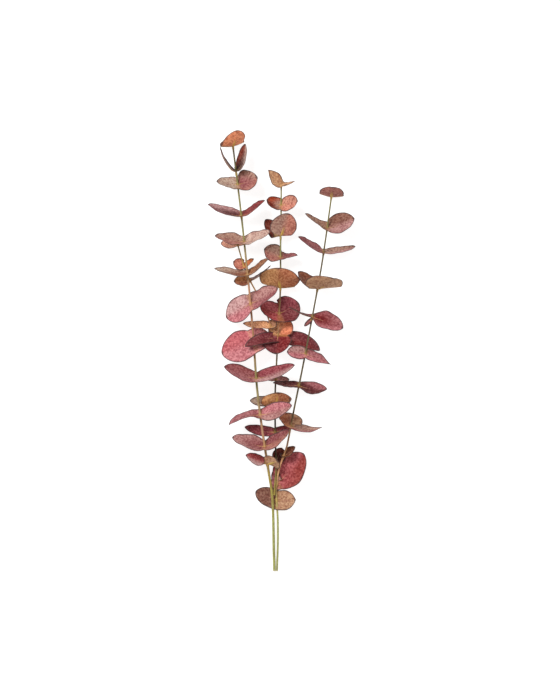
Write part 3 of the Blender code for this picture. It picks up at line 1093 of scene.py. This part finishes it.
LEFT = LeafyStem(
    "leafy_stem_left",
    [
        (-1.6, 0, 1.85), (-1.9, 14, 1.85), (-2.5, 31, 3.2), (-4.3, 104, 12), (-10.3, 148, 17.5),
        (-20, 212, 25), (-27.2, 271, 29), (-31.6, 332, 30), (-36.3, 390, 32), (-41.9, 446, 33),
        (-50.7, 528, 32), (-62.9, 628, 29),
    ],
    foot_radius=2.0,
    top_radius=1.2,
    tones=(
        T.OLIVE_BRIGHT, T.OLIVE_BRIGHT, T.KHAKI, T.TAN, T.OLIVE, T.STALK_TAN, T.TAN, T.OLIVE,
        T.OLIVE, T.DARK_STALK,
    ),
    pairs=LEFT_PAIRS,
    cut_end=True,
)

MIDDLE_PAIRS = [
    Pair(
        565,
        Half((-19, 24, 8), 24, 62, T.PEACH, point=1.0, under=T.PEACH),
        Half((21, 8, 4), 20, 12, T.PEACH, point=1.6, under=T.PEACH),
        waist=1.05,
    ),
    Pair(
        537,
        Half((-21, 8, 5), 21, 64, T.AMBER, T.RUST, point=0.5, heart_tone_and_shade=T.TAUPE, heart_reach=0.55),
        Half((24, 6, 14), 28, 62, T.SALMON, T.CORAL_PINK, point=0.5),
    ),
    Pair(
        489,
        Half((-22, 28, -14), 24, 40, T.RUST),
        Half((11, 36, 16), 40, -22, T.UMBER, arch=10, under=T.CORAL_PINK, under_far_tone_and_fold_shade=T.TAUPE),
        waist=0.8,
    ),
    Pair(461, Half((-24, 12, 4), 34, 56, T.TAUPE, T.DUSTY_CORAL), Half((25, 3, 3), 26, 16, T.WINE)),
    Pair(
        414,
        Half((3, 14, -18), 34, 0, T.UMBER),
        Half((-4, 31, 28), 61, 0, T.UMBER, under=T.COPPER, under_far_tone_and_fold_shade=T.OCHRE),
        waist=0.9,
    ),
    Pair(
        378,
        # painted light: the tone is lighter than this leaf's own colour, to lift the shadow it lies
        # in
        Half((-28, 13, 4), 29, 60, T.BRIGHT_PINK, T.ROSE_RED),
        Half((29, 16, -8), 42, 66, T.BURGUNDY, T.PLUM),
        waist=0.95,
    ),
    Pair(
        347,
        # painted light: both tones are lighter than this leaf's own colour, to lift the shadow it
        # lies in
        Half((12, 26, -13), 36, -30, T.CORAL, T.LIGHT_TAN),
        Half((-4, -28, 18), 44, 0, T.CRIMSON, T.PLUM, arch=-30),
    ),
    Pair(
        342,
        Half((-48, -12, 20), 22, 40, T.PLUM, arch=-50),
        Half((62, -17, -14), 30, 48, T.PLUM, T.CRIMSON, arch=-50),
    ),
    Pair(282, Half((-12, 0, -4), 12, 30, T.MAUVE), Half((20, 0, -4), 14, 40, T.MAUVE)),
    Pair(249, Half((-37, 2, -9), 20, 50, T.STONE), Half((22, 5, -6), 20, 50, T.BRONZE)),
    Pair(
        241,
        Half((0, 6, -12), 30, 0, T.OCHRE),
        Half((4, 22, 7), 54, 0, T.OCHRE, under=T.COPPER, under_far_tone_and_fold_shade=T.APRICOT),
        cup=0.06,
    ),
    Pair(
        204,
        Half((-45, 8, -11), 20, 48, T.BURGUNDY),
        Half((24, 8, -11), 14, 64, T.BURGUNDY),
        cup=0.1,
    ),
    Pair(
        160,
        Half((-6, 5, -6), 10, 50, T.MAROON),
        # heart: painted shade of the dark cup round the stalk
        Half((9, 21, -7), 22, 68, T.RUST, heart_tone_and_shade=T.CUP_SHADE_BROWN),
    ),
]

MIDDLE = LeafyStem(
    "leafy_stem_middle",
    [
        (-1.9, 112, 12.6), (-0.4, 131, 12.6), (1.0, 148, 12.5), (0.7, 166, 13.2), (0, 185, 14),
        (-0.7, 247, 15.5), (0.4, 284, 17), (2.6, 325, 19), (5.1, 373, 21), (7.4, 421, 22),
        (7.4, 476, 23), (8.2, 525, 24), (8.4, 566, 25),
    ],
    foot_radius=1.35,
    top_radius=1.1,
    tones=(
        T.KHAKI, T.DARK_STALK, T.DARK_STALK, T.GREY_OLIVE, T.STALK_TAN, T.OLIVE, T.OLIVE, T.OLIVE,
    ),
    pairs=MIDDLE_PAIRS,
)

RIGHT_PAIRS = [
    Pair(
        548.5,
        Half((0, 8, -16), 30, 3, T.WINE),
        Half((1, 15, 26), 36, 3, T.WINE, under=T.DUSTY_CORAL),
        waist=1.1,
    ),
    Pair(503, Half((-32, 22, 4), 28, 22, T.FAWN), Half((40, 15, 4), 42, 52, T.BROWN, T.MAUVE)),
    Pair(
        467,
        Half((-37, 24, 4), 34, 24, T.WINE, T.BURGUNDY),
        Half((47, 11, -23), 23, 21, T.TAUPE, T.MAUVE),
        level=RESTING_LEVEL,
    ),
    Pair(
        413,
        Half((-28, 27, -4), 34, 34, T.UMBER),
        Half((24, 17, 31), 62, 2, T.UMBER, under=T.TAN),
        waist=0.9,
    ),
    Pair(
        373,
        Half((-34, 15, 13), 14, 6, T.WINE),
        Half((45, -16, 4), 36, 52, T.ROSE, T.PINK, arch=-10, heart_tone_and_shade=T.CRIMSON, heart_reach=0.78),
    ),
    Pair(371, Half((-11, -11, 5), 7, 50, T.WINE, point=0.5), Half((4, 3, -4), 6, 40, T.WINE)),
    Pair(
        320,
        Half((-27, 2, 13), 23, 62, T.MAUVE, T.PINK, arch=-10),
        Half((38, -16, 4), 24, 36, T.ROSE, T.PINK, arch=10, point=1.8),
    ),
    Pair(
        273,
        Half((-38, 4, 8), 22, 16, T.DARK_PLUM),
        Half((41, -5, 2), 29, 34, T.ROSE, T.DARK_PLUM, arch=46, heart_tone_and_shade=T.DARK_PLUM),
    ),
    Pair(
        213,
        # painted light: both tones are lighter than this leaf's own colour, to lift the shadow it
        # lies in
        Half((-2, 20, -12), 38, 0, T.TAN, T.COPPER),
        Half((47, 0, 4), 30, 16, T.TAUPE, T.ROSE, arch=66, point=1.5),
    ),
    Pair(169, Half((-5, 4, 0), 12, 20, T.MAROON), Half((17, 14, 4), 18, 40, T.UMBER)),
    Pair(
        127,
        Half((-3, 24, -7), 16, 60, T.PINK),
        Half((40, 46, 5), 48, 64, T.BRIGHT_PINK, T.BRICK, heart_tone_and_shade=T.ROSE_RED, heart_reach=0.5),
        cup=0.08,
        waist=0.7,
    ),
    Pair(
        104,
        Half((-31, 13, -5), 28, 86, T.BROWN),
        Half((28, 1, 3), 30, 84, T.TAN, point=0.75),
        cup=0.05,
        waist=1.0,
    ),
]

RIGHT = LeafyStem(
    "leafy_stem_right",
    [
        (2.1, 0, 1.5), (2.4, 12, 2.1), (3.4, 36, 3.8), (3.4, 75, 5.8), (1.5, 106, 7.2),
        (0.7, 119, 8), (2.6, 137, 10.5), (5.4, 151, 13.2), (12.8, 172, 17), (16.9, 184, 19.6),
        (27.6, 240, 25), (37.9, 290, 29), (48.2, 343, 31), (65.1, 434, 25), (73.1, 485, 22),
        (82.2, 551, 20),
    ],
    foot_radius=1.45,
    top_radius=1.15,
    tones=(
        T.OLIVE_BRIGHT, T.OLIVE_BRIGHT, T.LIGHT_TAN, T.GREY_OLIVE, T.GREY_OLIVE, T.GREY_OLIVE,
        T.GREY_OLIVE, T.OLIVE,
    ),
    pairs=RIGHT_PAIRS,
    cut_end=True,
)

SHORT_PAIRS = [
    Pair(
        479,
        Half((-25, 4, -14.5), 18, 46, T.BLUSH, arch=8),
        Half((14, 2, -4), 16, 20, T.BLUSH),
        level=RESTING_LEVEL,
    ),
    Pair(447, Half((-16, 8, 2), 22, 64, T.CORAL_PINK), Half((14, 12, 0), 20, 24, T.ORANGE)),
    Pair(
        426,
        # painted light: both tones are lighter than this leaf's own colour, to lift the shadow it
        # lies in
        Half((-24, 0, 0), 27, 42, T.APRICOT, T.COPPER),
        Half((30, 23, 0), 20, 4, T.ASH_MAUVE),
    ),
    Pair(360, Half((-41, 4, -4), 26, 28, T.LIGHT_TAN), Half((6, 9, -7), 14, 60, T.TAN)),
]

SHORT = LeafyStem(
    "leafy_stem_short",
    [
        (1.7, 350.5, 20.9), (-2.9, 354, 21), (-6.6, 359.5, 20.8), (-12, 376, 19.5),
        (-29.4, 412, 17), (-37.5, 427, 16.5), (-47, 450, 16), (-55.8, 481, 14.5),
    ],
    foot_radius=1.1,
    top_radius=1.0,
    tones=(T.STALK_TAN, T.STALK_TAN, T.STALK_GOLD, T.OLIVE),
    pairs=SHORT_PAIRS,
)

STEMS = (LEFT, MIDDLE, RIGHT, SHORT)


@dataclass(frozen=True)
class SoftLight:
    """A round area light that faces the middle of the spray."""

    name: str
    place: Triple
    size: float
    power: float


@dataclass(frozen=True)
class Studio:
    """The white floor, the soft lights and the camera straight above the spray."""

    floor_size: float = 40.0
    floor_drop: float = 0.0003
    floor_grey: Colour = (0.4, 0.4, 0.4, 1)
    floor_roughness: float = 0.9
    floor_glow: float = 0.82
    white: Colour = (1, 1, 1, 1)
    lights: tuple[SoftLight, ...] = (
        SoftLight("key", (-0.9, 0.9, 1.7), 1.0, 38.0),
        SoftLight("fill", (1.2, -0.4, 1.6), 1.6, 8.0),
    )
    surround: float = 0.34
    camera_height: float = 8.0
    photo_scale: float = 1.4706
    photo_size: tuple[int, int] = (560, 700)
    cut_end_pixel: tuple[float, float] = (275.5, 571.0)
    sensor: float = 36.0
    clip_end: float = 100.0

    def build_floor(self) -> None:
        """A plain white surface under the spray."""
        bpy.ops.mesh.primitive_plane_add(size=self.floor_size, location=(0, 0, -self.floor_drop))
        floor = bpy.context.object
        floor.name = "floor"
        material = bpy.data.materials.new("floor_white")
        material.use_nodes = True
        shader = material.node_tree.nodes["Principled BSDF"]
        for key, value in (
            ("Base Color", self.floor_grey),
            ("Roughness", self.floor_roughness),
            ("Emission Color", self.white),
            ("Emission Strength", self.floor_glow),
        ):
            shader.inputs[key].default_value = value
        floor.data.materials.append(material)

    def build_lights(self) -> None:
        """A wide soft light from the upper left, a fill from the right and a pale surround."""
        for soft in self.lights:
            bpy.ops.object.light_add(type="AREA", location=soft.place)
            light = bpy.context.object
            light.name = soft.name
            light.data.shape = "DISK"
            light.data.size = soft.size
            light.data.energy = soft.power
            light.rotation_euler = (-Vector(soft.place)).to_track_quat("-Z", "Y").to_euler()
        world = bpy.data.worlds.new("surround")
        bpy.context.scene.world = world
        world.use_nodes = True
        surround = world.node_tree.nodes["Background"]
        surround.inputs["Color"].default_value = self.white
        surround.inputs["Strength"].default_value = self.surround

    def build_camera(self) -> None:
        """A long lens straight above, framed as the photograph."""
        columns, rows = self.photo_size
        middle = Vector((columns / 2 - self.cut_end_pixel[0], self.cut_end_pixel[1] - rows / 2, 0))
        place = in_frame(middle * self.photo_scale)
        data = bpy.data.cameras.new("camera")
        camera = bpy.data.objects.new("camera", data)
        bpy.context.scene.collection.objects.link(camera)
        camera.location = (place.x, place.y, self.camera_height)
        data.sensor_width = self.sensor
        data.lens = self.sensor * self.camera_height / (rows * self.photo_scale * MM)
        data.clip_end = self.clip_end
        bpy.context.scene.camera = camera


def main() -> None:
    """Dress the spray and set the stage."""
    logging.basicConfig(level=logging.INFO, format="%(name)s %(message)s")
    bpy.context.scene.view_settings.view_transform = "Standard"
    finishes = Finishes()
    for stem in STEMS:
        stem.build(finishes)
    studio = Studio()
    studio.build_floor()
    studio.build_lights()
    studio.build_camera()


if __name__ == "__main__":
    main()
